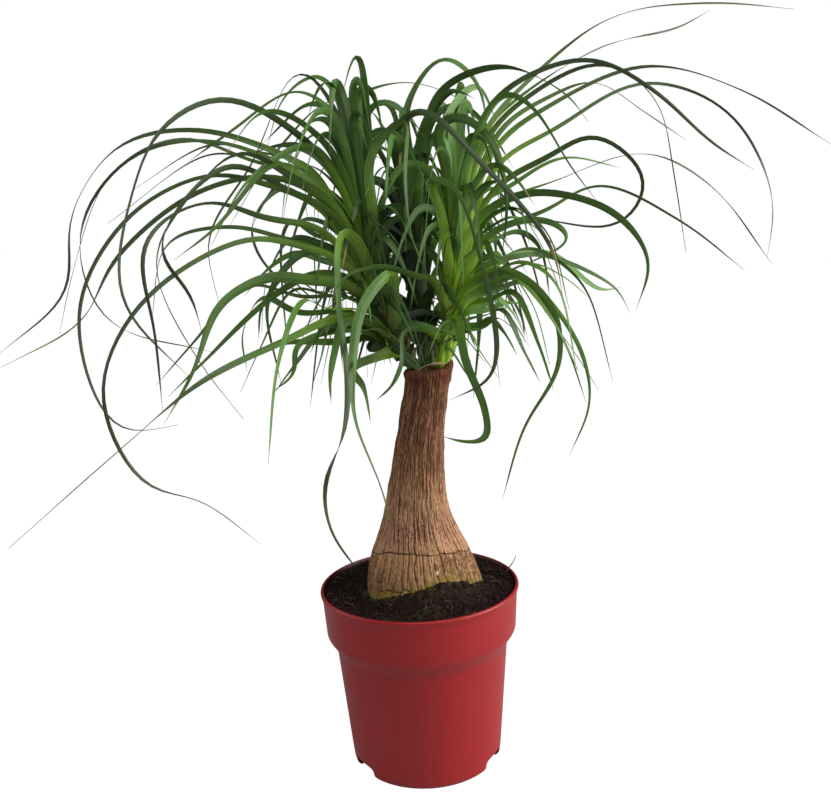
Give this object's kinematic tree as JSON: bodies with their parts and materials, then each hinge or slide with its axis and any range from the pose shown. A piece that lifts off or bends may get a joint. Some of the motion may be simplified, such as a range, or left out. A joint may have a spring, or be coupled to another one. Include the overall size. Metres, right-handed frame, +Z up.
{
  "type": "potted ponytail palm",
  "caption": "Ponytail palm with a swollen, fissured trunk and long arching strap leaves on short shoots, standing in soil in a tapered plastic nursery pot.",
  "frame": {"origin": "centre of the pot's underside, on the ground", "axes": "+Z up along the pot's axis; +X to the right and -Y towards the viewer of the side that the plant is seen from"},
  "size_m": [0.835, 0.5104, 0.735],
  "materials": {
    "pot_plastic": "smooth red injection-moulded polypropylene with a soft sheen",
    "soil": "dark, crumbly, fibrous potting mix, fully matt",
    "bark": "dry brown bark with fine upright fissures and a cracked, paler base",
    "leaf_left": "smooth strap leaf, mid green with fine lengthwise veins and a satin sheen",
    "leaf_right": "smooth strap leaf, lime green at the base, satin sheen",
    "leaf_back": "smooth strap leaf, dark green, satin sheen"
  },
  "bodies": {
    "root": {"pot": "pot_plastic", "soil": "soil", "trunk": "bark", "shoot_left": "leaf_left", "shoot_right": "leaf_right", "shoot_back": "leaf_back"}
  },
  "joints": []
}
